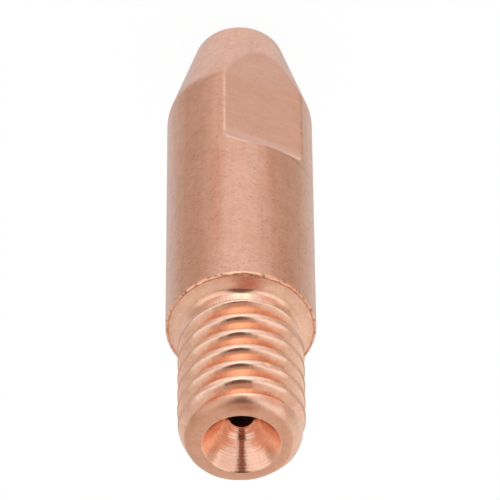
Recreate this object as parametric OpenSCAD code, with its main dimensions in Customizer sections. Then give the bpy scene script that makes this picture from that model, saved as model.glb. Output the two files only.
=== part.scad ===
// Welding contact tip: one piece of copper, turned, drilled, threaded and milled.
// Millimetres. The tip stands on its nose: the nose face is at z = 0 and +Z runs up the wire's
// way to the threaded end.

/* [Body] */
// Diameter of the plain body
body_d = 9.5; // [8.8:0.1:12]
// Length of the plain body, from the taper to the shoulder
body_l = 19.7; // [15:0.1:30]
// Width of the bevel round the shoulder's rim
rim_bevel = 0.2; // [0.05:0.05:0.3]

/* [Nose] */
// Length of the taper, from the nose face to the body
nose_l = 7; // [5:0.1:9]
// Half angle of the taper
nose_angle = 15.6; // [10:0.2:18]
// Radius of the round at the edge of the nose face
nose_r = 0.8; // [0.3:0.1:1.2]
// Radius that blends the taper into the body
nose_blend_r = 2.5; // [1:0.5:8]

/* [Wrench flats] */
// Distance across the two flats
flat_across = 7.8; // [7:0.1:8.6]
// Length of the level part of each flat, measured from the nose face
flat_l = 13.1; // [10:0.1:20]
// Radius in which each flat runs out into the body
flat_runout_r = 1.2; // [0.8:0.1:3]
// Direction that the first flat faces, round the axis
flat_turn = 247; // [0:1:359]

/* [Spigot] */
// Length of the threaded spigot, from the shoulder to the end face
spigot_l = 10.4; // [8:0.1:14]
// Diameter of the plain neck beside the shoulder
neck_d = 7.4; // [7:0.1:7.8]
// Length of the neck, from the shoulder to the thread's full diameter
neck_l = 1.45; // [1.2:0.05:2.5]
// Radius of the fillet between the shoulder and the neck
neck_fillet_r = 0.5; // [0.2:0.05:0.6]
// Length of the rounded lead-in at the end
lead_l = 2; // [1.4:0.1:3]
// Fall of the lead-in below the thread's crests at the end face
lead_drop = 0.72; // [0.4:0.02:1]
// Angle at which the lead-in leaves the crests
lead_angle = 4; // [1:0.5:8]
// Radius of the round at the edge of the end face
end_r = 0.6; // [0.2:0.05:0.8]

/* [Thread] */
// Diameter over the crests
thread_d = 7.94; // [7.6:0.02:8.4]
// Distance from one crest to the next
thread_pitch = 1.411; // [1.1:0.001:1.6]
// Angle between the two flanks of the groove
thread_angle = 60; // [50:1:70]
// Width of the flat crest
thread_crest = 0.36; // [0.2:0.02:0.4]
// Width of the flat root
thread_root = 0.12; // [0.06:0.02:0.4]
// Distance from the neck to the middle of the groove where it begins
thread_gap = 0.33; // [0.2:0.01:0.8]
// Direction in which the groove begins, round the axis
thread_turn = 150; // [0:1:359]
// Angle over which the groove comes down to its full depth
thread_fade = 90; // [60:5:180]
// Thickness of the lip between the groove and the end face at which it begins to break away
thread_lip = 0.42; // [0.1:0.02:0.6]

/* [Wire way] */
// Diameter of the bore that the wire runs through
bore_d = 1.5; // [0.8:0.1:2]
// Diameter of the funnel at the end face
funnel_d = 4.86; // [4:0.02:5.4]
// Depth of the funnel's wide cone
funnel_l = 1.65; // [1:0.05:2.5]
// Diameter where the wide cone meets the narrow one
throat_d = 2.5; // [2.2:0.1:3]
// Length of the narrow cone, down to the bore
throat_l = 0.86; // [0.5:0.02:1.5]

/* [Hidden] */
$fn = 96;
copper = [0.85, 0.61, 0.48];

// How far a cutter reaches past the faces that it opens
reach = 1;
// How far the thread's cutter stands out past the crests, and where it starts its way down
groove_reach = 0.2;
groove_lift = 0.15;
// Straight pieces in one turn of the groove
groove_facets = 48;
// How much sooner the groove opens at the crest than at the root, where its lip breaks away
lip_lead = 3;
// How far the end's round stands out past the lead-in where it begins, so that the two arcs cross
end_lap = 0.02;

body_r = body_d / 2;
neck_r = neck_d / 2;
thread_r = thread_d / 2;
shoulder_z = nose_l + body_l;
top_z = shoulder_z + spigot_l;

function dir(a) = [cos(a), sin(a)];
function mix(a, b, t) = a + (b - a) * t;

// Nose: the round at its edge and the blend into the body, each tangent to the taper
nose_c = [body_r - (nose_l - nose_r) * tan(nose_angle) - nose_r / cos(nose_angle), nose_r];
blend_c = [body_r - nose_blend_r, nose_l + nose_blend_r * tan(nose_angle / 2)];

// Spigot: the cone from the neck up to the thread, the lead-in's arc and the end's round
neck_cone_l = thread_r - neck_r;
neck_fillet_c = [neck_r + neck_fillet_r, shoulder_z + neck_fillet_r];
lead_turn = atan2(lead_drop, lead_l) - lead_angle;
lead_r = norm([lead_l, lead_drop]) / (2 * sin(lead_turn));
lead_c = [thread_r, top_z - lead_l] - lead_r * dir(lead_angle);
end_z = top_z - end_r;
end_c = [lead_c.x + sqrt(pow(lead_r, 2) - pow(end_z - lead_c.y, 2)) + end_lap - end_r, end_z];

// Thread: the groove's depth follows from its pitch, crest, root and angle
groove_slope = tan(thread_angle / 2);
groove_depth = (thread_pitch - thread_crest - thread_root) / (2 * groove_slope);
groove_z = shoulder_z + neck_l + thread_gap;
groove_steps = ceil((top_z + thread_pitch - groove_z) / thread_pitch * groove_facets);

// Slice of a disc between two directions
module sector(centre, radius, from, to) {
    intersection() {
        translate(centre) circle(radius);
        polygon([
            centre,
            centre + 2 * radius * dir(from),
            centre + 3 * radius * dir((from + to) / 2),
            centre + 2 * radius * dir(to)
        ]);
    }
}

// Half section of the spigot's end: the lead-in's arc, with the round at the edge of the end face
module end_section() {
    intersection() {
        translate(lead_c) circle(lead_r);
        union() {
            translate([0, lead_c.y]) square([thread_r, end_z - lead_c.y]);
            translate([0, lead_c.y]) square([end_c.x, top_z - lead_c.y]);
            translate(end_c) circle(end_r);
        }
    }
}

// Half section of the turned blank, radius across and height up
module turned_section() {
    difference() {
        union() {
            polygon([
                [0, 0],
                [nose_c.x, 0],
                nose_c + nose_r * dir(-nose_angle),
                blend_c + nose_blend_r * dir(-nose_angle),
                [body_r, blend_c.y],
                [body_r, shoulder_z - rim_bevel],
                [body_r - rim_bevel, shoulder_z],
                [neck_fillet_c.x, shoulder_z],
                [neck_r, neck_fillet_c.y],
                [neck_r, shoulder_z + neck_l - neck_cone_l],
                [thread_r, shoulder_z + neck_l],
                [thread_r, lead_c.y],
                [0, lead_c.y]
            ]);
            end_section();
            sector(nose_c, nose_r, -90, -nose_angle);
            intersection() {
                sector(blend_c, nose_blend_r, -nose_angle, 0);
                square([body_r, shoulder_z]);
            }
        }
        sector(neck_fillet_c, neck_fillet_r, 180, 270);
    }
}

// Section of the thread's cutter at one step, from the root to past the crests. Where it nears the
// end face its upper side opens, first at the crest and then at the root, and so takes the thin lip.
function groove_section(step) =
    let (turn = step * 360 / groove_facets)
    let (down = min(1, turn / thread_fade))
    let (root_r = thread_r + groove_lift - down * (groove_depth + groove_lift))
    let (edge_r = thread_r + groove_reach)
    let (root_half = thread_root / 2)
    let (edge_half = root_half + (edge_r - root_r) * groove_slope)
    let (z = groove_z + step * thread_pitch / groove_facets)
    let (lip = top_z - z - root_half)
    let (open = min(1, max(0, 1 - lip / thread_lip)))
    let (clear_z = max(top_z, z) + reach)
    [
        for (corner = [
            [root_r, z - root_half],
            [edge_r, z - edge_half],
            [edge_r, mix(z + edge_half, clear_z, min(1, open * lip_lead))],
            [root_r, mix(z + root_half, clear_z, open)]
        ])
            let (flat = corner[0] * dir(thread_turn + turn))
            [flat.x, flat.y, corner[1]]
    ];

// Right-handed cutter of the thread: it comes in beside the neck and leaves through the end face
module thread_groove() {
    sides = [
        for (step = [0 : groove_steps - 1], k = [0 : 3])
            let (a = 4 * step + k, b = 4 * step + (k + 1) % 4)
            each [[a, b + 4, a + 4], [a, b, b + 4]]
    ];
    last = 4 * groove_steps;
    polyhedron(
        [for (step = [0 : groove_steps]) each groove_section(step)],
        concat(sides, [[3, 2, 1, 0], [last, last + 1, last + 2, last + 3]])
    );
}

// Bore from nose to throat, and the two cones that lead the wire into it
module wire_way() {
    funnel_slope = (funnel_d - throat_d) / funnel_l;
    translate([0, 0, -reach]) cylinder(d = bore_d, h = top_z + 2 * reach);
    translate([0, 0, top_z - funnel_l - throat_l])
        cylinder(d1 = bore_d, d2 = throat_d, h = throat_l);
    translate([0, 0, top_z - funnel_l])
        cylinder(d1 = throat_d, d2 = funnel_d + reach * funnel_slope, h = funnel_l + reach);
}

// Path of the milling cutter over one flat, with the round corner that makes the run-out
module flat_cutter() {
    height = flat_across / 2;
    rotate([0, 0, flat_turn]) rotate([90, 0, 0])
        linear_extrude(2 * body_d, center = true) {
            translate([height, -reach]) square([body_d, flat_l + reach]);
            translate([height + flat_runout_r, flat_l]) circle(flat_runout_r);
            translate([height + flat_runout_r, -reach])
                square([body_d, flat_l + flat_runout_r + reach]);
        }
}

module contact_tip() {
    color(copper) difference() {
        rotate_extrude() turned_section();
        thread_groove();
        wire_way();
        flat_cutter();
        rotate([0, 0, 180]) flat_cutter();
    }
}

contact_tip();
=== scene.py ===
"""Dressed scene of a welding contact tip: one turned, threaded and milled piece of copper.

Lengths in the properties are metres. The shape and the finish are worked out in millimetres.
"""

import math
from types import SimpleNamespace

import bmesh
import bpy
import numpy as np
from bpy.props import FloatProperty, FloatVectorProperty, PointerProperty
from bpy.types import Operator, Panel, PropertyGroup
from mathutils import Euler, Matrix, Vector


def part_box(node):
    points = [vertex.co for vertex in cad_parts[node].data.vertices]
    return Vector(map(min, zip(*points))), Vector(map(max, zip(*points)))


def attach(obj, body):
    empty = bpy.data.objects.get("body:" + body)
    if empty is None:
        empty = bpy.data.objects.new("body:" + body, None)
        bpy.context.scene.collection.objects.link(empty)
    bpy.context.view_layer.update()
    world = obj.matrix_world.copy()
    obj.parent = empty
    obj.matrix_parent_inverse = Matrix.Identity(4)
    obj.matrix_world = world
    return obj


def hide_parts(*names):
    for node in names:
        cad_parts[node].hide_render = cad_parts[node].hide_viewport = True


bl_info = {
    "name": "Contact Tip",
    "version": (1, 0, 0),
    "blender": (4, 5, 0),
    "location": "3D View > Sidebar > Contact Tip",
    "description": "Builds a turned copper contact tip and the studio it stands in",
    "category": "Add Mesh",
}

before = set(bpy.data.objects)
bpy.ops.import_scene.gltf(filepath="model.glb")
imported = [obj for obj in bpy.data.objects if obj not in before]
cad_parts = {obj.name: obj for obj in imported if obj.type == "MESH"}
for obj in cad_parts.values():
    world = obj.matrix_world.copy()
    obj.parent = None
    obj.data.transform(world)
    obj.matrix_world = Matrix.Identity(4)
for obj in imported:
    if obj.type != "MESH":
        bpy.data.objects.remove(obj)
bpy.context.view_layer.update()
NODE = "contact_tip"
TIP_LOW, TIP_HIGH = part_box(NODE)

MM = 0.001
WHITE = (1.0, 1.0, 1.0)


def length(name, description, default):
    """A length that a user may change, given here in millimetres."""
    return FloatProperty(
        name=name, description=description, default=default * MM, precision=5, unit="LENGTH"
    )


def angle(name, description, default):
    """An angle that a user may change, given here in degrees."""
    return FloatProperty(
        name=name, description=description, default=math.radians(default), subtype="ANGLE"
    )


def colour(name, description, default):
    """A colour that a user may change, in linear values."""
    return FloatVectorProperty(
        name=name, description=description, default=default, subtype="COLOR", min=0.0, max=1.0
    )


def factor(name, description, default):
    """A share from 0 to 1 that a user may change."""
    return FloatProperty(
        name=name, description=description, default=default, subtype="FACTOR", min=0.0, max=1.0
    )


class TipSizes(PropertyGroup):
    """Sizes of the turned, threaded and milled tip"""

    body_d: length("Body", "Diameter of the plain body", (TIP_HIGH.x - TIP_LOW.x) / MM)
    top_z: length("Height", "Height of the threaded end above the nose", TIP_HIGH.z / MM)
    shoulder_z: length("Shoulder", "Height of the shoulder above the nose", 26.7)
    rim_w: length("Rim", "Width of the broken edge round the shoulder", 0.12)
    burr: length("Burr", "Height of the ragged burr on the shoulder's rim", 0.045)
    nose_l: length("Taper", "Length of the taper", 7.0)
    nose_angle: angle("Taper angle", "Half angle of the taper", 15.6)
    nose_r: length("Nose round", "Radius at the edge of the nose face", 0.8)
    blend_r: length("Taper blend", "Radius between the taper and the body", 2.5)
    flat_across: length("Flats", "Distance across the wrench flats", 7.8)
    flat_l: length("Flat length", "Level length of a flat, from the nose", 13.1)
    flat_runout: length("Flat run-out", "Radius in which a flat runs out", 1.2)
    flat_turn: angle("Flat turn", "Direction that the first flat faces", 247.0)
    shoulder_tilt: angle("Shoulder tilt", "How much the shoulder rises towards the neck", 25.0)
    neck_d: length("Neck", "Diameter of the neck at the foot of its fillet", 7.08)
    neck_tilt: angle("Neck tilt", "How much the neck narrows towards the thread", 12.0)
    neck_l: length("Neck length", "From the shoulder to the thread's full diameter", 1.6)
    neck_cone: length("Neck cone", "Length of the cone from the neck to the thread", 0.6)
    fillet_r: length("Neck fillet", "Radius between the shoulder and the neck", 0.6)
    thread_d: length("Thread", "Diameter over the thread's crests", 7.94)
    pitch: length("Pitch", "Distance from one crest to the next", 1.411)
    crest: length("Crest", "Width of the thread's crest", 0.36)
    root: length("Root", "Width of the thread's root", 0.12)
    crest_round: length("Crest round", "How much the worn side of a crest is rounded", 0.3)
    flat_round: length("Flat edges", "How much the edges of the flats are rounded", 0.065)
    nick: length("Nicks", "Depth of the small nicks in the thread and the end", 0.06)
    crest_rag: length("Crest rag", "How far the edges of the crests stray", 0.004)
    flank_angle: angle("Flanks", "Angle between the thread's flanks", 60.0)
    thread_gap: length("Thread gap", "From the neck to the groove's beginning", 0.18)
    thread_turn: angle("Thread turn", "Direction in which the groove begins", 150.0)
    thread_fade: angle("Thread fade", "Angle over which the groove comes down", 90.0)
    lip: length("Lip", "Thickness of the last lip where it breaks away", 0.42)
    lead_l: length("Lead-in", "Length of the rounded lead-in", 2.0)
    lead_drop: length("Lead-in fall", "Fall of the lead-in at the end face", 0.66)
    lead_angle: angle("Lead-in angle", "Angle at which the lead-in leaves the crests", 4.0)
    end_r: length("End round", "Radius at the edge of the end face", 1.0)
    bore_d: length("Bore", "Diameter of the wire's bore", 1.5)
    funnel_d: length("Funnel", "Diameter of the funnel at the end face", 4.86)
    funnel_l: length("Funnel depth", "Depth of the funnel's wide cone", 1.72)
    throat_d: length("Throat", "Diameter between the wide and the narrow cone", 2.5)
    throat_mouth: angle("Throat mouth", "Slant of the throat's wall at its wide end", 43.0)
    throat_foot: angle("Throat foot", "Slant of the throat's wall at the bore", 37.0)


class CopperFinish(PropertyGroup):
    """Colour and surface of the copper"""

    copper: colour("Copper", "Colour of the clean, freshly cut copper", (0.94, 0.59, 0.43))
    dull: colour("Dull copper", "Colour of the handled body", (0.83, 0.49, 0.365))
    milled: colour("Milled copper", "Colour of the milled flats", (0.90, 0.555, 0.425))
    pale: colour("Pale copper", "Colour of the run-out of the flats", (0.98, 0.67, 0.58))
    crest: colour("Crest copper", "Colour of the crests and the shoulder", (0.98, 0.665, 0.52))
    drilled: colour("Drilled copper", "Colour of the funnel", (0.96, 0.615, 0.465))
    worn: colour("Worn copper", "Colour of the worn end", (0.75, 0.42, 0.29))
    # Painted shade: a dark matt brown put on the crests away from the front
    skin: colour("Matt crests", "Colour of the crests away from the front", (0.54, 0.29, 0.20))
    stain: colour("Stain", "Colour of the small dark pits", (0.30, 0.13, 0.08))
    body_rough: factor("Body roughness", "Roughness of the dull body", 0.33)
    thread_rough: factor("Thread roughness", "Roughness of the freshly cut thread", 0.22)


class StudioLook(PropertyGroup):
    """Floor, tent and cards of the studio, the last two as the copper mirrors them"""

    floor: colour("Floor", "Colour of the pale floor", (0.9, 0.9, 0.9))
    lamp: colour("Lamp", "Soft light over the tip's front", WHITE)
    sides: colour("Sides", "Shade of the tent's sides", (0.58, 0.50, 0.437))
    back: colour("Back", "Shade of the tent's back", (0.82, 0.785, 0.76))
    top: colour("Top", "Shade of the tent's top", (0.80, 0.735, 0.685))
    low: colour("Low left", "Light from the tent's lower left back", (0.76, 0.82, 0.86))
    low_right: colour("Low right", "The same at the lower right back", (0.79, 0.83, 0.85))
    dark_card: colour("Dark card", "Colour of the card in front", (0.10, 0.04, 0.028))
    brown_card: colour("Brown card", "Colour of the card at its foot", (0.23, 0.095, 0.062))
    warm_card: colour("Warm card", "Colour of the wide card above it", (0.56, 0.37, 0.285))
    red_card: colour("Red card", "Colour of the card overhead", (0.40, 0.10, 0.05))
    near_card: colour("Near cards", "Colour of the cards by the funnel", (0.85, 0.80, 0.80))


class Term:
    """A node's output in an expression: each operator adds a Math node to its tree."""

    def __init__(self, nodes, socket):
        self.nodes = nodes
        self.socket = socket

    def math(self, operation, *values):
        sockets = dict(enumerate((self,) + values))
        return self.nodes.add("ShaderNodeMath", {"operation": operation}, sockets)

    def __add__(self, other):
        return self.math("ADD", other)

    __radd__ = __add__

    def __mul__(self, other):
        return self.math("MULTIPLY", other)

    __rmul__ = __mul__

    def __sub__(self, other):
        return self.math("SUBTRACT", other)

    def __rsub__(self, other):
        return (self * -1.0).math("ADD", other)

    def __pow__(self, other):
        return self.math("POWER", other)

    def between(self, low, high):
        """0 at low, 1 at high, smooth between them and even outside, whichever is greater."""
        sockets = {"Value": self, "From Min": low, "From Max": high}
        return self.nodes.add("ShaderNodeMapRange", {"interpolation_type": "SMOOTHSTEP"}, sockets)


class Nodes:
    """Adds nodes to a material's or world's tree."""

    def __init__(self, owner):
        owner.use_nodes = True
        self.tree = owner.node_tree
        self.tree.nodes.clear()

    def add(self, kind, settings=None, sockets=None, out=0):
        """Makes a node: its settings come first, then the values or links of its sockets."""
        node = self.tree.nodes.new(kind)
        for name, value in (settings or {}).items():
            setattr(node, name, value)
        for key, value in (sockets or {}).items():
            if isinstance(value, Term):
                self.tree.links.new(value.socket, node.inputs[key])
            elif node.inputs[key].type == "RGBA":
                node.inputs[key].default_value = (*value, 1.0)
            else:
                node.inputs[key].default_value = value
        return Term(self, node.outputs[out]) if node.outputs else None

    def mix(self, share, a, b, blend="MIX"):
        """Colour between a and b, or with blend MULTIPLY between a and a times b."""
        settings = {"data_type": "RGBA", "blend_type": blend}
        return self.add("ShaderNodeMix", settings, {0: share, 6: a, 7: b}, out=2)

    def axes(self, vector):
        """The three parts of a vector."""
        return [self.add("ShaderNodeSeparateXYZ", {}, {0: vector}, out=axis) for axis in "XYZ"]

    def scaled(self, vector, scale):
        """A vector stretched along each axis."""
        settings = {"operation": "MULTIPLY"}
        return self.add("ShaderNodeVectorMath", settings, {0: vector, 1: scale})

    def noise(self, vector, scale=1.0, detail=2.0, roughness=0.5):
        """Cloudy values about 0.5."""
        sockets = {"Vector": vector, "Scale": scale, "Detail": detail, "Roughness": roughness}
        return self.add("ShaderNodeTexNoise", {}, sockets)

    def rays(self, *kinds):
        """1 for rays of any of these kinds, 0 for the others."""
        share = None
        for kind in kinds:
            ray = self.add("ShaderNodeLightPath", out=kind)
            share = ray if share is None else share.math("MAXIMUM", ray)
        return share


def line(start, stop, step):
    """Points from start to stop, no further apart than step."""
    count = max(2, math.ceil(math.dist(start, stop) / step) + 1)
    return np.linspace(start, stop, count)


def arc(centre, radius, start, stop, count):
    """Points on an arc, with angles in degrees from straight outwards."""
    turn = np.radians(np.linspace(start, stop, count))
    return np.stack([centre[0] + radius * np.cos(turn), centre[1] + radius * np.sin(turn)], 1)


def soft_min(a, b, width):
    """The lesser of a and b, with the corner between them rounded over."""
    share = np.clip(0.5 + 0.5 * (b - a) / width, 0, 1)
    return b + (a - b) * share - width * share * (1 - share)


def hump(value, width):
    """1 at 0, falling off over the width on both sides."""
    return np.exp(-((value / width) ** 2))


def ragged(turn, seed, low, high):
    """Uneven values about 0 round a ring, the same on each run."""
    dice = np.random.RandomState(seed)
    total = np.zeros_like(turn)
    for waves in range(low, high):
        total += dice.normal() * np.sin(waves * turn + dice.uniform(0, 2 * math.pi))
    return total / math.sqrt(high - low)


class TipShape:
    """Works out the tip's surface as rows round the axis, one for each point of its section."""

    # Distances between rows
    FINE = 0.042
    NOSE_STEP = 0.25
    TAPER_STEP = 0.13
    FLAT_STEP = 0.15
    RUNOUT_STEP = 0.05
    BODY_STEP = 0.8
    SEAT_STEP = 0.1
    NECK_STEP = 0.06
    FACE_STEP = 0.09
    FUNNEL_STEP = 0.11
    BORE_STEP = 4.0
    SAME_POINT = 1e-4

    # Rows on the arcs
    NOSE_ROWS = 12
    BLEND_ROWS = 8
    FILLET_ROWS = 14
    END_ROWS = 16
    THROAT_ROWS = 14

    # Plain rows beside the run-out of the flats: below it, above it and below the rim
    RUNOUT_GAP, RUNOUT_CLEAR, RIM_GAP = 0.1, 0.3, 0.12

    # Small rounds, from the corner outwards and up: the rim in widths, the others in millimetres
    RIM_EDGE = ((0, -1), (-0.12, -0.72), (-0.38, -0.36), (-0.7, -0.1), (-0.95, 0), (-1.2, 0))
    SEAT_START = 1.5
    FUNNEL_EDGE = ((0.06, 0), (0.02, -0.008), (-0.008, -0.04), (-0.04, -0.085))
    THROAT_EDGE = (0.03, 0.042)
    BORE_TOP = 0.3
    BORE_EDGE = ((0, 0.08), (0.025, 0.02), (0.08, 0))

    # Columns: on a flat, on the round between two, beside the edges of the flats, and the half
    # widths to which they draw together over the run-out and spread out above it
    FLAT_COLUMNS = 42
    ROUND_COLUMNS = 44
    EDGE_TURN = math.radians(0.7)
    NARROW = math.radians(6.0)
    WIDE = math.radians(45.0)
    WIDEN_L = 6.0

    # Thread's cutter: where it starts, how far it stands out, how it opens at the end
    LIFT, BEYOND, LIP_LEAD, CLEAR = 0.15, 0.2, 3.0, 1.0
    OUT_OF_REACH = 99.0
    CREST_SEED, CREST_WAVES = 20, (9, 60)

    # Wear of the crests: from where to where it grows, its least share, and the share on the
    # hidden side, at the tip's sides and what the front has more
    WEAR_FROM, WEAR_OVER, WEAR_LEAST = 0.2, 0.6, 0.25
    UNDER_WEAR, FRONT_WEAR = 0.06, 0.24

    # Nicks: direction round the axis in degrees, and height
    NICKS = ((243.4, 32.1), (247.3, 33.8), (300.0, 30.6), (85.0, 36.75), (349.0, 36.0))
    NICK_R = 0.14

    # Widths over which the finish of a flat and the painted highlight and nicks of its edge fade
    FLAT_FADE, EDGE_FADE = 0.02, 0.04

    # Burr: middle and half width in widths of the rim, and seeds and waves of its two ways
    BURR_MIDDLE, BURR_HALF, BURR_OUT = 0.85, 0.4, 0.6
    BURR_UP_WAVES, BURR_OUT_WAVES = (3, 7, 70), (5, 5, 60)

    def __init__(self, sizes):
        # Lengths become millimetres, and angles stay in radians
        for name, prop in sizes.bl_rna.properties.items():
            if prop.type == "FLOAT":
                value = getattr(sizes, name)
                setattr(self, name, value / MM if prop.unit == "LENGTH" else value)
        self.body_r = self.body_d / 2
        self.neck_r = self.neck_d / 2
        self.thread_r = self.thread_d / 2
        self.funnel_r = self.funnel_d / 2
        self.bore_r = self.bore_d / 2
        self.flat_r = self.flat_across / 2
        self.flat_end = self.flat_l + self.flat_runout
        self.slope = math.tan(self.flank_angle / 2)
        self.depth = (self.pitch - self.crest - self.root) / (2 * self.slope)
        self.thread_z = self.shoulder_z + self.neck_l
        self.groove_z = self.thread_z + self.thread_gap

    def section(self):
        """Half section as one closed loop, and the share of the thread on each of its points."""
        body = self.body_runs()
        spigot = self.spigot_runs(body[-1][-1])
        way = self.wire_way_runs(spigot[-1][-1])
        rows = []
        for share, runs in ((0, body), (1, spigot), (0, way)):
            for run in runs:
                for r, z in run:
                    if not rows or math.dist(rows[-1][:2], (r, z)) > self.SAME_POINT:
                        rows.append((r, z, share))
        return np.array(rows)

    def body_runs(self):
        """Nose face, taper, body, rim, shoulder and the fillet at the neck."""
        taper = math.degrees(self.nose_angle)
        fall = (self.nose_l - self.nose_r) * math.tan(self.nose_angle)
        nose_c = (self.body_r - fall - self.nose_r / math.cos(self.nose_angle), self.nose_r)
        nose_arc = arc(nose_c, self.nose_r, -90, -taper, self.NOSE_ROWS)
        blend_z = self.nose_l + self.blend_r * math.tan(self.nose_angle / 2)
        blend_c = (self.body_r - self.blend_r, blend_z)
        blend_arc = arc(blend_c, self.blend_r, -taper, 0, self.BLEND_ROWS)
        seat = (self.body_r - self.SEAT_START * self.rim_w, self.shoulder_z)
        seat_end = self.neck_r + self.fillet_r * (1 - math.sin(self.shoulder_tilt))
        seat_top = seat[1] + (seat[0] - seat_end) * math.tan(self.shoulder_tilt)
        fillet_z = seat_top + self.fillet_r * math.cos(self.shoulder_tilt)
        fillet_c = (self.neck_r + self.fillet_r, fillet_z)
        fillet_from = 270 - math.degrees(self.shoulder_tilt)
        fillet_to = 180 + math.degrees(self.neck_tilt)

        def plain(low, high, step):
            return line((self.body_r, low), (self.body_r, high), step)

        return [
            line((self.bore_r + self.BORE_EDGE[-1][0], 0), (nose_c[0], 0), self.NOSE_STEP),
            nose_arc,
            line(nose_arc[-1], blend_arc[0], self.TAPER_STEP),
            blend_arc,
            plain(blend_arc[-1][1], self.flat_l - self.RUNOUT_GAP, self.FLAT_STEP),
            plain(self.flat_l, self.flat_end, self.RUNOUT_STEP),
            plain(
                self.flat_end + self.RUNOUT_CLEAR,
                self.shoulder_z - self.rim_w - self.RIM_GAP,
                self.BODY_STEP,
            ),
            [(self.body_r + r * self.rim_w, seat[1] + z * self.rim_w) for r, z in self.RIM_EDGE],
            line(seat, (seat_end, seat_top), self.SEAT_STEP),
            arc(fillet_c, self.fillet_r, fillet_from, fillet_to, self.FILLET_ROWS),
        ]

    def spigot_runs(self, foot):
        """Neck, thread, lead-in and the round at the end face."""
        cone_z = self.thread_z - self.neck_cone
        neck = (foot[0] - (cone_z - foot[1]) * math.tan(self.neck_tilt), cone_z)
        start = (self.thread_r, self.thread_z)
        lead_turn = math.atan2(self.lead_drop, self.lead_l) - self.lead_angle
        lead_r = math.hypot(self.lead_l, self.lead_drop) / (2 * math.sin(lead_turn))
        lead_z = self.top_z - self.lead_l
        lead_c = (
            self.thread_r - lead_r * math.cos(self.lead_angle),
            lead_z - lead_r * math.sin(self.lead_angle),
        )
        lead_from = math.degrees(self.lead_angle)
        lead_rows = math.ceil(self.lead_l / self.FINE)
        end_z = self.top_z - self.end_r
        end_rise = end_z - lead_c[1]
        end_out = math.sqrt((lead_r - self.end_r) ** 2 - end_rise**2)
        end_c = (lead_c[0] + end_out, end_z)
        end_from = math.degrees(math.atan2(end_rise, end_out))
        return [
            line(foot, neck, self.NECK_STEP),
            line(neck, start, self.FINE),
            line(start, (self.thread_r, lead_z), self.FINE),
            arc(lead_c, lead_r, lead_from, end_from, lead_rows),
            arc(end_c, self.end_r, end_from, 90, self.END_ROWS),
        ]

    def wire_way_runs(self, end):
        """End face, funnel, throat and bore, down to the nose face."""
        throat_r = self.throat_d / 2
        throat_z = self.top_z - self.funnel_l
        mouth, foot = self.throat_mouth, self.throat_foot
        bend_r = (throat_r - self.bore_r) / (math.cos(foot) - math.cos(mouth))
        bend_c = (throat_r + bend_r * math.cos(mouth), throat_z - bend_r * math.sin(mouth))
        bend_from, bend_to = 180 - math.degrees(mouth), 180 - math.degrees(foot)
        bore_z = bend_c[1] + bend_r * math.sin(foot)
        edge = [(self.funnel_r + r, self.top_z + z) for r, z in self.FUNNEL_EDGE]
        throat = (throat_r + self.THROAT_EDGE[0], throat_z + self.THROAT_EDGE[1])
        mouth_edge = [(self.bore_r + r, z) for r, z in self.BORE_EDGE]
        return [
            line(end, edge[0], self.FACE_STEP),
            edge[1:-1],
            line(edge[-1], throat, self.FUNNEL_STEP),
            arc(bend_c, bend_r, bend_from, bend_to, self.THROAT_ROWS),
            line((self.bore_r, bore_z - self.BORE_TOP), mouth_edge[0], self.BORE_STEP),
            mouth_edge[1:-1],
        ]

    def flat_height(self, z):
        """Distance of the flats from the axis, which grows in the run-out."""
        up = np.clip(z - self.flat_l, 0, self.flat_runout * 0.9999)
        return self.flat_r + self.flat_runout - np.sqrt(self.flat_runout**2 - up**2)

    def columns(self, rows, outer):
        """Directions of the points on each row, which follow the edges of the flats."""
        r, z = rows[:, 0], rows[:, 1]
        height = self.flat_height(z)
        half = np.arccos(np.clip(height / np.maximum(r, 0.01), -1, 1))
        half = np.where(r > height, half, 0)
        past = np.clip((z - self.flat_end) / self.WIDEN_L, 0, 1)
        wide = np.where(outer, self.NARROW + (self.WIDE - self.NARROW) * past, self.WIDE)
        half = np.where(outer & (past <= 0), np.maximum(half, self.NARROW), wide)
        flat = np.linspace(-1, 1, self.FLAT_COLUMNS)
        arch = np.linspace(-1, 1, self.ROUND_COLUMNS)
        side = math.pi / 2
        once = [
            np.concatenate([self.spread(w, flat), side + self.spread(side - w, arch)])
            for w in half
        ]
        return self.flat_turn + np.concatenate([once, np.add(once, math.pi)], 1)

    def spread(self, half, places):
        """Directions from one edge of a flat to the next, close together beside the edges."""
        near = self.EDGE_TURN * np.arange(3)
        middle = places * (half - near[2] - self.EDGE_TURN)
        return np.concatenate([near - half, middle, half - near[:0:-1]])

    def groove(self, turn, z):
        """Radius of the groove's two walls at each point, large where they don't reach."""
        start = np.mod(turn - self.thread_turn, 2 * math.pi)
        edge_r = self.thread_r + self.BEYOND
        root_half = self.root / 2
        walls = np.full((2, *turn.shape), self.OUT_OF_REACH)
        for lap in range(math.ceil((self.top_z - self.groove_z) / self.pitch) + 2):
            gone = start + lap * 2 * math.pi
            middle = self.groove_z + gone / (2 * math.pi) * self.pitch
            middle = middle + self.crest_rag * ragged(
                turn, self.CREST_SEED + lap, *self.CREST_WAVES
            )
            down = np.minimum(1, gone / self.thread_fade)
            root_r = self.thread_r + self.LIFT - down * (self.depth + self.LIFT)
            edge_half = root_half + (edge_r - root_r) * self.slope
            opening = np.clip(1 - (self.top_z - middle - root_half) / self.lip, 0, 1)
            clear_z = np.maximum(self.top_z, middle) + self.CLEAR
            low = root_r + np.maximum(0, middle - root_half - z) / self.slope
            first = middle + root_half + (clear_z - middle - root_half) * opening
            last = middle + edge_half
            last = last + (clear_z - last) * np.minimum(1, opening * self.LIP_LEAD)
            rise = (edge_r - root_r) / np.maximum(last - first, 1e-3)
            high = root_r + np.maximum(0, z - first) * rise
            below = z < middle
            walls[0] = np.minimum(walls[0], np.where(below, low, self.OUT_OF_REACH))
            walls[1] = np.minimum(walls[1], np.where(below, self.OUT_OF_REACH, high))
        return walls

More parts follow.
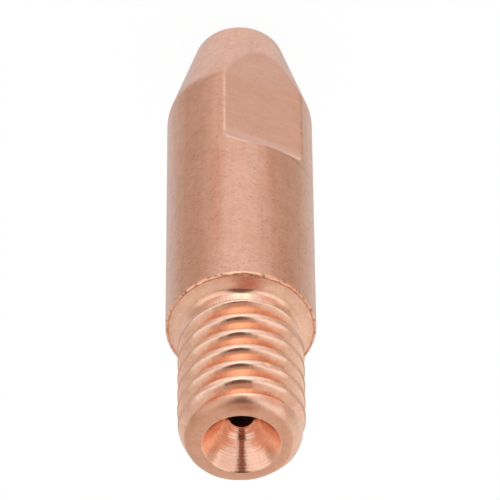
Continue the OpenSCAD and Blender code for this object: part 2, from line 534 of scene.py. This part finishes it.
    def surface(self):
        """Points of the surface in metres, and the shares of the finish at each."""
        rows = self.section()
        outer = np.arange(len(rows)) < np.argmax(rows[:, 2] > 0)
        turn = self.columns(rows, outer)
        r, z, share = (np.repeat(rows[:, k : k + 1], turn.shape[1], 1) for k in range(3))

        # Flats, on the outside of the body and the taper only
        below = outer[:, None] & (z < self.flat_end)
        facing = np.abs(np.cos(turn - self.flat_turn))
        milled = self.flat_height(z) / np.maximum(facing, 0.05)
        flat = np.where(below, np.clip((r - milled) / self.FLAT_FADE + 0.5, 0, 1), 0)
        edge = np.where(below, hump(r - milled, self.EDGE_FADE), 0)
        r = np.where(below, soft_min(r, milled, self.flat_round), r)

        # Thread, with its crests worn round on the side towards the end, and at the front also on
        # the other side
        low, high = self.groove(turn, z)
        worn = (z - self.groove_z - self.WEAR_FROM) / self.WEAR_OVER
        worn = np.clip(worn, self.WEAR_LEAST, 1) * self.crest_round
        front = np.clip(-np.sin(turn), 0, 1) ** 2
        under = (self.UNDER_WEAR + self.FRONT_WEAR * front) * worn
        cut = np.where(share > 0, soft_min(soft_min(r, low, worn), high, under), r)
        groove = np.clip((r - cut) / self.depth, 0, 1)
        r = cut
        for nick_turn, nick_z in self.NICKS:
            aside = np.mod(turn - math.radians(nick_turn) + math.pi, 2 * math.pi) - math.pi
            away = np.hypot(self.thread_r * aside, z - nick_z)
            r = r - share * self.nick * hump(away, self.NICK_R)

        # Ragged burr on the shoulder's rim
        rim_r = self.body_r - self.BURR_MIDDLE * self.rim_w
        near = hump(rows[:, 0] - rim_r, self.BURR_HALF * self.rim_w)
        near = near * (np.abs(rows[:, 1] - self.shoulder_z) < self.rim_w)
        burr = near[:, None] * self.burr
        z = z + burr * np.clip(0.55 + 0.5 * ragged(turn, *self.BURR_UP_WAVES), 0, 1.5)
        r = r + burr * self.BURR_OUT * ragged(turn, *self.BURR_OUT_WAVES)

        points = np.stack([r * np.cos(turn), r * np.sin(turn), z], 2) * MM
        return points, {"flat": flat, "edge": edge, "groove": groove}


class TIP_OT_copper(Operator):
    """Makes the satin copper finish"""

    bl_idname = "tip.copper"
    bl_label = "Copper Finish"

    # Tints that multiply the colour: of the grain's dark and light, the nose's painted sheen, and
    # dark patches
    GRAIN_DARK, GRAIN_LIGHT = (0.83, 0.79, 0.76), (1.11, 1.11, 1.11)
    NOSE_SHEEN_TINT = (1.0, 1.05, 1.10)
    DRAWN_TINT = (0.97, 0.91, 0.86)
    DARK_PATCH_TINT = (0.94, 0.84, 0.76)

    # Colours: painted highlights on flat edges and rim, painted shade in groove roots, dark seam
    # line
    EDGE_HIGHLIGHT = (1.0, 0.66, 0.46)
    RIM_HIGHLIGHT = (1.0, 0.62, 0.42)
    ROOT_SHADE = (0.55, 0.28, 0.18)
    SEAM_DARKENING = (0.50, 0.20, 0.11)

    # Darker patches: direction from the front in radians, half width, and the heights they lie
    # between
    DARK_PATCHES = ((0.32, 0.17, 15.0, 22.0), (-0.44, 0.12, 14.0, 17.5))
    SCRATCH_TURNS = (0.15, -0.7, 1.1)
    BUMP_HEIGHT = 0.01 * MM

    def execute(self, context):
        look = context.scene.tip_finish
        material = bpy.data.materials.new("satin_copper")
        nodes = Nodes(material)
        at = self.zones(nodes, TipShape(context.scene.tip_sizes))
        marks = self.marks(nodes, at)
        base = self.base(nodes, look, at, marks)

        rough = look.body_rough + (look.thread_rough - look.body_rough) * at.spigot
        rough = rough + at.end * 0.12 - at.funnel * 0.05 - at.flat * 0.03
        rough = rough + (marks.grain - 0.5) * 0.12 + marks.pits * 0.2

        height = marks.coarse * at.funnel * (0.9 + at.throat * 1.3) + marks.mill * at.flat * 0.25
        height = height + marks.rings * 0.06 + marks.facing * at.seat * 1.8
        height = height + marks.grain * (0.08 + at.spigot * 0.24 + at.end * 0.02)
        height = height - marks.pits * 0.3 - marks.ticks * 0.9 - marks.scratches * 0.12
        sockets = {"Strength": 1.0, "Distance": self.BUMP_HEIGHT, "Height": height}
        bump = nodes.add("ShaderNodeBump", {}, sockets)

        sockets = {"Base Color": base, "Metallic": 1.0, "Roughness": rough, "Normal": bump}
        metal = nodes.add("ShaderNodeBsdfPrincipled", {}, sockets)
        # Painted shade on the crests away from the front, mixed in as a matt brown
        skin = nodes.add("ShaderNodeBsdfDiffuse", {}, {"Color": look.skin})
        shader = nodes.add("ShaderNodeMixShader", {}, {0: at.matt * 0.9, 1: metal, 2: skin})
        nodes.add("ShaderNodeOutputMaterial", {}, {"Surface": shader})
        return {"FINISHED"}

    def zones(self, nodes, tip):
        """Where a point lies on the tip, and the share there of each finish and of painted light
        and shade.
        """
        at = SimpleNamespace()
        place = nodes.add("ShaderNodeTexCoord", out="Object")
        at.place = nodes.scaled(place, (1 / MM, 1 / MM, 1 / MM))
        x, y, z = nodes.axes(at.place)
        at.x, at.z = x, z
        at.radius = (x * x + y * y) ** 0.5
        at.around = x.math("ARCTAN2", y * -1.0)
        at.along = at.around * tip.body_r
        shares = {
            name: nodes.add("ShaderNodeAttribute", {"attribute_name": name}, out="Fac")
            for name in ("flat", "edge", "groove")
        }
        at.flat, at.groove = shares["flat"], shares["groove"]
        at.edge = shares["edge"] * z.between(tip.nose_l, tip.nose_l + 1.5)

        # Body and nose
        # Nose: where the taper gets its painted pale sheen
        at.nose = z.between(tip.nose_l + 0.3, tip.nose_l - 0.3)
        runout = (z + x * 0.08).between(tip.flat_l - 0.85, tip.flat_l - 0.35)
        at.runout = at.flat * runout

        # Rim and shoulder
        rim_z, rim_r = tip.shoulder_z, tip.body_r
        rim = z.between(rim_z - 0.20, rim_z - 0.12) * z.between(rim_z + 0.10, rim_z + 0.04)
        at.rim = rim * at.radius.between(rim_r - 0.19, rim_r - 0.13)
        seam = at.radius.between(rim_r - 0.25, rim_r - 0.19)
        seam = seam * at.radius.between(rim_r - 0.09, rim_r - 0.14)
        at.seam = seam * z.between(rim_z - 0.08, rim_z - 0.04)
        at.spigot = z.between(rim_z - 0.1, rim_z + 0.2)
        at.seat = at.spigot * z.between(rim_z + 0.8, rim_z + 0.6)

        # Neck and thread
        neck = z.between(rim_z + 0.76, rim_z + 0.84) * z.between(rim_z + 1.10, rim_z + 1.02)
        at.neck = neck * at.radius.between(tip.neck_r - 0.14, tip.neck_r - 0.04)
        at.crest = at.groove.between(0.4, 0.05)
        at.crest = at.crest * (0.3 + z.between(rim_z + 0.7, rim_z + 1.0) * 0.7)
        # Painted shade: share of the crests at the sides and back that turn dark matt brown
        matt = z.between(tip.thread_z, tip.thread_z + 0.4)
        matt = matt * z.between(tip.top_z - 1.1, tip.top_z - 1.6)
        matt = matt * at.radius.between(tip.neck_r - 0.14, tip.neck_r + 0.06)
        matt = matt * at.groove.between(0.10, 0.02)
        at.matt = matt * at.around.math("ABSOLUTE").between(0.8, 1.3)

        # End and funnel
        top, edge = tip.top_z, tip.funnel_r
        at.funnel = at.radius.between(edge + 0.03, edge - 0.03) * z.between(top - 3.1, top - 2.6)
        at.throat = z.between(top - 1.5, top - 1.8)
        face = z.between(top - 0.2, top - 0.07)
        end = z.between(top - 1.0, top - 0.3) * at.radius.between(edge - 0.01, edge + 0.07)
        # On the lead-in the worn colour is real wear at 0.3 and grows to full towards +X: painted
        # shade
        at.end = end * (face + (1.0 - face) * (0.3 + x.between(-1.5, 1.0) * 0.7))
        return at

    def marks(self, nodes, at):
        """Grain, clouds, pits and scratches, and the marks of the tools."""
        marks = SimpleNamespace()

        def stretched(scale, detail=2.0, roughness=0.5):
            return nodes.noise(nodes.scaled(at.place, scale), 1.0, detail, roughness)

        # Grain and clouds
        marks.grain = nodes.noise(at.place, 9.0, 4.0, 0.6)
        marks.clouds = nodes.noise(at.place, 0.7, 3.0, 0.55)
        marks.mottle = stretched((2.4, 2.4, 3.0), 5.0, 0.7)
        marks.streaks = stretched((6.0, 6.0, 0.5), 3.0, 0.6) - 0.5
        marks.bands = stretched((1.7, 1.7, 0.1), 3.0, 0.6)

        # Pits
        chance = nodes.noise(at.place, 0.9)
        dots = self.dots(nodes, nodes.scaled(at.place, (2.6, 2.6, 5.0)), 0.30, 0.07)
        dots = dots * chance.between(0.44, 0.58) * (0.3 + at.z.between(12.0, 19.0) * 0.7)
        spots = self.dots(nodes, nodes.scaled(at.place, (1.3, 1.3, 2.2)), 0.15, 0.04)
        pits = (dots * 0.65 + spots * 0.65).math("MINIMUM", 1.0)
        pits = pits * (1.0 - at.spigot * 0.7) * (1.0 - at.flat * 0.7)
        marks.pits = pits * (0.3 + at.z.between(6.0, 9.0) * 0.7)

        # Short scratches, which cross the body at several slants
        scratches = sum(self.scratches(nodes, at, turn) for turn in self.SCRATCH_TURNS)
        marks.scratches = scratches * (1.0 - at.spigot * 0.6) * (1.0 - at.flat * 0.6)

        # Rings from the lathe and the drill, and lines from the mill
        marks.rings = stretched((0.15, 0.15, 18.0))
        marks.coarse = stretched((0.05, 0.05, 6.5), 2.0, 0.7)
        across = nodes.add("ShaderNodeCombineXYZ", {}, {"X": at.radius * 5.0})
        marks.facing = nodes.noise(across, 1.0, 2.0, 0.6)
        marks.mill = stretched((0.25, 0.25, 4.0), 5.0, 0.7)

        # Marks of the chattering tool on the neck
        ticks = (at.around * 100.0).math("SINE").between(0.1, 0.9) * at.x.between(-0.5, 0.0)
        fade = at.x.between(1.2, 0.6) * 0.6 + marks.mottle.between(0.46, 0.56) * 0.4
        marks.ticks = ticks * at.neck * fade
        return marks

    def base(self, nodes, look, at, marks):
        """Colour of the copper: grain, wear, pits, darker patches, and painted highlights, shade
        and sheen.
        """
        round_share = 1.0 - at.flat
        mottle = marks.mottle
        tone = 1.0 + (marks.clouds - 0.5) * 0.16 + (marks.grain - 0.5) * 0.16
        tone = tone + (mottle - 0.5) * (0.34 - at.flat * 0.2) + marks.streaks * round_share * 0.08
        tone = tone + (marks.rings - 0.5) * 0.05 + (marks.mill - 0.5) * at.flat * 0.16
        tone = tone + (marks.coarse - 0.5) * at.funnel * 0.35 + (marks.facing - 0.5) * at.seat * 0.5
        tone = tone - marks.ticks * 0.3 - marks.scratches * 0.14
        shade = nodes.mix(tone.between(0.8, 1.2), self.GRAIN_DARK, self.GRAIN_LIGHT)

        body = nodes.mix(at.flat, look.dull, look.milled)
        base = nodes.mix(at.spigot, body, nodes.mix(at.crest, look.copper, look.crest))
        base = nodes.mix(at.runout * (0.5 + marks.mill.between(0.35, 0.6) * 0.5), base, look.pale)
        # Worn colour on the end, which on the lead-in also carries painted shade towards +X
        base = nodes.mix(at.end, base, look.worn)
        base = nodes.mix(at.funnel, base, look.drilled)
        base = nodes.mix(1.0, base, shade, "MULTIPLY")
        # Painted sheen: the taper and nose face are made paler and cooler
        base = nodes.mix(at.nose, base, self.NOSE_SHEEN_TINT, "MULTIPLY")
        drawn = marks.bands.between(0.55, 0.40) * (1.0 - at.spigot) * round_share
        base = nodes.mix(drawn * 0.7, base, self.DRAWN_TINT, "MULTIPLY")
        # Soft darker patches down the body, on both sides of the front
        dark_patches = sum(self.stain(at, *stain) for stain in self.DARK_PATCHES)
        base = nodes.mix(dark_patches * 0.8, base, self.DARK_PATCH_TINT, "MULTIPLY")

        # Painted highlight in patches along the flats' edges; the dark nicks after it are real
        base = nodes.mix(at.edge * mottle.between(0.40, 0.55) * 0.6, base, self.EDGE_HIGHLIGHT)
        base = nodes.mix(at.edge * mottle.between(0.42, 0.36) * 0.5, base, look.stain)
        # Painted shade in the deep groove roots, where the next crest shades the flank
        base = nodes.mix(at.groove.between(0.6, 0.95) * 0.5, base, self.ROOT_SHADE)
        # Painted highlight in patches on the rim's burr
        base = nodes.mix(at.rim * mottle.between(0.42, 0.55) * 0.85, base, self.RIM_HIGHLIGHT)
        base = nodes.mix(marks.pits * 0.7, base, look.stain)
        base = nodes.mix(at.rim * mottle.between(0.45, 0.38) * 0.8, base, look.stain)
        # A darker line in patches just inside the rim
        return nodes.mix(at.seam * mottle.between(0.35, 0.5) * 0.4, base, self.SEAM_DARKENING)

    def stain(self, at, middle, half, low, high):
        """Soft darker patch down the body: its direction, half width and the heights it lies
        between.
        """
        across = (at.around - middle).math("ABSOLUTE").between(half, 0.0)
        return across * at.z.between(low - 1.5, low + 1.0) * at.z.between(high + 3.0, high - 1.0)

    def scratches(self, nodes, at, turn):
        """Scratches that all lie at one slant."""
        cosine, sine = math.cos(turn), math.sin(turn)
        ways = {
            "X": (at.along * cosine + at.z * sine) * 0.8,
            "Y": (at.z * cosine - at.along * sine) * 9.0,
            "Z": 7.0 * turn,
        }
        way = nodes.add("ShaderNodeCombineXYZ", {}, ways)
        return nodes.noise(way, 1.0, 1.0).between(0.64, 0.73)

    def dots(self, nodes, place, wide, narrow):
        """Round marks strewn over the surface."""
        sockets = {"Vector": place, "Scale": 1.0, "Randomness": 1.0}
        away = nodes.add("ShaderNodeTexVoronoi", {}, sockets, out="Distance")
        return away.between(wide, narrow)


class TIP_OT_tip(Operator):
    """Makes the tip's surface and puts it in the place of the plain solid"""

    bl_idname = "tip.tip"
    bl_label = "Contact Tip"

    SHARP = math.radians(32)

    def execute(self, context):
        points, shares = TipShape(context.scene.tip_sizes).surface()
        tall, wide = points.shape[:2]
        row, column = np.meshgrid(np.arange(tall), np.arange(wide), indexing="ij")
        above, beside = (row + 1) % tall, (column + 1) % wide
        corners = [(row, column), (row, beside), (above, beside), (above, column)]
        faces = np.stack([a * wide + b for a, b in corners], 2).reshape(-1, 4)
        mesh = bpy.data.meshes.new("turned_tip")
        mesh.from_pydata(points.reshape(-1, 3).tolist(), [], faces.tolist())
        for name, values in shares.items():
            layer = mesh.attributes.new(name, "FLOAT", "POINT")
            layer.data.foreach_set("value", values.reshape(-1).astype(np.float32))
        form = bmesh.new()
        form.from_mesh(mesh)
        for face in form.faces:
            face.smooth = True
        for edge in form.edges:
            edge.smooth = edge.calc_face_angle(0.0) < self.SHARP
        form.to_mesh(mesh)
        form.free()
        mesh.materials.append(bpy.data.materials["satin_copper"])
        tip = bpy.data.objects.new("turned_tip", mesh)
        context.scene.collection.objects.link(tip)
        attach(tip, "root")
        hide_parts(NODE)
        return {"FINISHED"}


class TIP_OT_stage(Operator):
    """Makes the floor, the cards, the light and the camera"""

    bl_idname = "tip.stage"
    bl_label = "Stage"

    FLOOR_R = 2.0
    FLOOR_SIDES = 64
    FLOOR_GLOW = 0.96

    # Curved cards: colour, place across, and heights above the horizon in degrees with half
    # widths, where what lies across is a share of the distance
    CARD_AWAY = 0.7
    CARD_COLUMNS = 9
    CARDS = {
        "low_card": ("brown_card", 0.0, ((8, 0.14), (16, 0.15), (24, 0.16), (32, 0.22))),
        "front_card": ("dark_card", 0.0, ((32, 0.25), (40, 0.31), (48, 0.32), (60, 0.28))),
        "warm_card": ("warm_card", 0.0, ((60, 0.40), (66, 0.42), (72, 0.42), (77, 0.38))),
        "top_card": (
            "red_card",
            -0.09,
            ((77, 0.14), (84, 0.13), (91, 0.13), (100, 0.13), (110, 0.12)),
        ),
    }

    # Small flat cards on both sides of the axis, close above the funnel, in millimetres
    NEAR_ACROSS = (1.2, 3.0)
    NEAR_ALONG = (-2.9, -0.75)
    NEAR_Z = 40.0

    # Shades of the tent, and tints that multiply them
    FOOT = (1.03, 1.03, 1.04)
    LAMP_EDGE = (0.72, 0.56, 0.47)
    CORE = (1.8, 1.8, 1.8)
    RIGHT_TINT, LEFT_TINT = (1.10, 1.10, 1.10), (0.94, 0.94, 0.94)
    AHEAD_RIGHT, AHEAD_LEFT = (0.90, 0.82, 0.79), (1.04, 1.0, 1.0)
    ASIDE_TINT = (0.80, 0.56, 0.47)
    MIDDLE_TINT = (1.02, 1.08, 1.14)
    DOME = 1.1

    LENS, SENSOR = 360.0, 36.0
    CLIP = (0.01, 10.0)
    CAMERA_AT = (0.0, -213.976, 256.839)
    CAMERA_TURN = (-42.0091, -0.3309, 179.7971)

    def execute(self, context):
        look = context.scene.tip_studio
        self.floor(context, look)
        for name, (shade, centre, stops) in self.CARDS.items():
            points = []
            for tilt, half in stops:
                tilt = math.radians(tilt)
                for across in np.linspace(centre - half, centre + half, self.CARD_COLUMNS):
                    flat = math.sqrt(1 - across**2)
                    way = (across, -flat * math.cos(tilt), flat * math.sin(tilt))
                    points.append([self.CARD_AWAY * part for part in way])
            self.card(context, name, self.glow(name, getattr(look, shade)), points)
        pale = self.glow("near_card", look.near_card)
        for name, side in (("near_card_left", MM), ("near_card_right", -MM)):
            points = [
                (side * x, MM * y, MM * self.NEAR_Z)
                for y in self.NEAR_ALONG
                for x in self.NEAR_ACROSS
            ]
            self.card(context, name, pale, points, len(self.NEAR_ACROSS))
        self.light(context, look)
        self.camera(context)
        context.scene.view_settings.view_transform = "Standard"
        return {"FINISHED"}

    def glow(self, name, shade):
        """An evenly lit finish."""
        material = bpy.data.materials.new(name)
        nodes = Nodes(material)
        lit = nodes.add("ShaderNodeEmission", {}, {"Color": shade, "Strength": 1.0})
        nodes.add("ShaderNodeOutputMaterial", {}, {"Surface": lit})
        return material

    def card(self, context, name, material, points, wide=CARD_COLUMNS):
        """A card from rows of points, seen only in reflections."""
        faces = []
        for row in range(len(points) // wide - 1):
            for column in range(wide - 1):
                a = row * wide + column
                faces.append((a, a + 1, a + wide + 1, a + wide))
        mesh = bpy.data.meshes.new(name)
        mesh.from_pydata(points, [], faces)
        mesh.materials.append(material)
        card = bpy.data.objects.new(name, mesh)
        context.scene.collection.objects.link(card)
        card.visible_camera = False
        card.visible_diffuse = False
        card.visible_shadow = False

    def floor(self, context, look):
        """A pale disc that shows white to the camera and keeps a faint shadow."""
        material = bpy.data.materials.new("pale_floor")
        nodes = Nodes(material)
        matt = nodes.add("ShaderNodeBsdfDiffuse", {}, {"Color": look.floor})
        glow = nodes.add("ShaderNodeEmission", {}, {"Color": WHITE, "Strength": 1.0})
        share = nodes.rays("Is Camera Ray", "Is Glossy Ray", "Is Transmission Ray")
        sockets = {0: share * self.FLOOR_GLOW, 1: matt, 2: glow}
        shader = nodes.add("ShaderNodeMixShader", {}, sockets)
        nodes.add("ShaderNodeOutputMaterial", {}, {"Surface": shader})
        form = bmesh.new()
        bmesh.ops.create_circle(
            form, cap_ends=True, radius=self.FLOOR_R, segments=self.FLOOR_SIDES
        )
        mesh = bpy.data.meshes.new("floor")
        form.to_mesh(mesh)
        form.free()
        mesh.materials.append(material)
        floor = bpy.data.objects.new("floor", mesh)
        context.scene.collection.objects.link(floor)
        floor.visible_glossy = False

    def light(self, context, look):
        """An even dome for matt surfaces, a shaded tent for the copper, and white behind."""
        world = bpy.data.worlds.new("light_tent")
        context.scene.world = world
        nodes = Nodes(world)
        x, y, z = nodes.axes(nodes.add("ShaderNodeTexCoord", out="Generated"))
        front = z * 0.4 - y

        # Sides, back and foot, then the lamp over the front with its edge
        low = nodes.mix(x.between(-0.2, 0.2), look.low_right, look.low)
        rear = nodes.mix(z.between(0.1, -0.6), look.back, low)
        tent = nodes.mix(y.between(-0.1, 0.6), look.sides, rear)
        tent = nodes.mix(z.between(-0.8, -0.96) * 0.8, tent, self.FOOT)
        tent = nodes.mix(front.between(0.08, 0.26), tent, self.LAMP_EDGE)
        tent = nodes.mix(front.between(0.18, 0.38), tent, look.lamp)

        # Drift from right to left, another one straight ahead, and the top
        drift = nodes.mix(x.between(-0.7, 0.7), self.RIGHT_TINT, self.LEFT_TINT)
        ahead = z.between(0.05, 0.2) * z.between(0.55, 0.4) * front.between(0.3, 0.6)
        across = nodes.mix(x.between(-0.6, 0.6), self.AHEAD_RIGHT, self.AHEAD_LEFT)
        drift = nodes.mix(ahead, drift, across)
        tent = nodes.mix(z.between(-0.4, 0.2), tent, drift, "MULTIPLY")
        tent = nodes.mix(z.between(0.62, 0.85), tent, look.top)

        # Warm patches on both sides of the front, a cool one below it and its bright core
        aside = (x * x).between(0.15, 0.45) * y.between(-0.2, -0.5)
        aside = aside * z.between(-0.5, -0.3) * z.between(0.3, 0.1)
        tent = nodes.mix(aside, tent, self.ASIDE_TINT, "MULTIPLY")
        middle = z.between(-0.5, -0.7) * front.between(0.29, 0.36)
        tent = nodes.mix(middle, tent, self.MIDDLE_TINT, "MULTIPLY")
        core = (y * -0.98 + z * -0.2).between(0.92, 0.985)
        tent = nodes.mix(core, tent, self.CORE)

        tent = nodes.add("ShaderNodeBackground", {}, {"Color": tent, "Strength": 1.0})
        dome = nodes.add("ShaderNodeBackground", {}, {"Color": WHITE, "Strength": self.DOME})
        white = nodes.add("ShaderNodeBackground", {}, {"Color": WHITE, "Strength": 1.0})
        mirrored = nodes.rays("Is Glossy Ray")
        seen = nodes.rays("Is Camera Ray", "Is Transmission Ray")
        shader = nodes.add("ShaderNodeMixShader", {}, {0: mirrored, 1: dome, 2: tent})
        shader = nodes.add("ShaderNodeMixShader", {}, {0: seen, 1: shader, 2: white})
        nodes.add("ShaderNodeOutputWorld", {}, {"Surface": shader})

    def camera(self, context):
        """A long lens above the threaded end."""
        lens = bpy.data.cameras.new("camera")
        lens.lens = self.LENS
        lens.sensor_width = self.SENSOR
        lens.clip_start, lens.clip_end = self.CLIP
        camera = bpy.data.objects.new("camera", lens)
        camera.location = Vector(self.CAMERA_AT) * MM
        camera.rotation_euler = Euler([math.radians(turn) for turn in self.CAMERA_TURN])
        context.scene.collection.objects.link(camera)
        context.scene.camera = camera


class TIP_PT_tip(Panel):
    """Lists the pieces of the scene"""

    bl_idname = "TIP_PT_tip"
    bl_label = "Contact Tip"
    bl_space_type = "VIEW_3D"
    bl_region_type = "UI"
    bl_category = "Contact Tip"

    def draw(self, context):
        for piece in (TIP_OT_copper, TIP_OT_tip, TIP_OT_stage):
            self.layout.operator(piece.bl_idname)
        for name in GROUPS:
            group = getattr(context.scene, name)
            box = self.layout.box()
            for key in group.bl_rna.properties.keys():
                if key not in ("rna_type", "name"):
                    box.prop(group, key)


GROUPS = {"tip_sizes": TipSizes, "tip_finish": CopperFinish, "tip_studio": StudioLook}
CLASSES = (*GROUPS.values(), TIP_OT_copper, TIP_OT_tip, TIP_OT_stage, TIP_PT_tip)


def register():
    for made in CLASSES:
        bpy.utils.register_class(made)
    for name, group in GROUPS.items():
        setattr(bpy.types.Scene, name, PointerProperty(type=group))


def unregister():
    for name in GROUPS:
        delattr(bpy.types.Scene, name)
    for made in reversed(CLASSES):
        bpy.utils.unregister_class(made)


def main():
    register()
    bpy.ops.tip.copper()
    bpy.ops.tip.tip()
    bpy.ops.tip.stage()


if __name__ == "__main__":
    main()
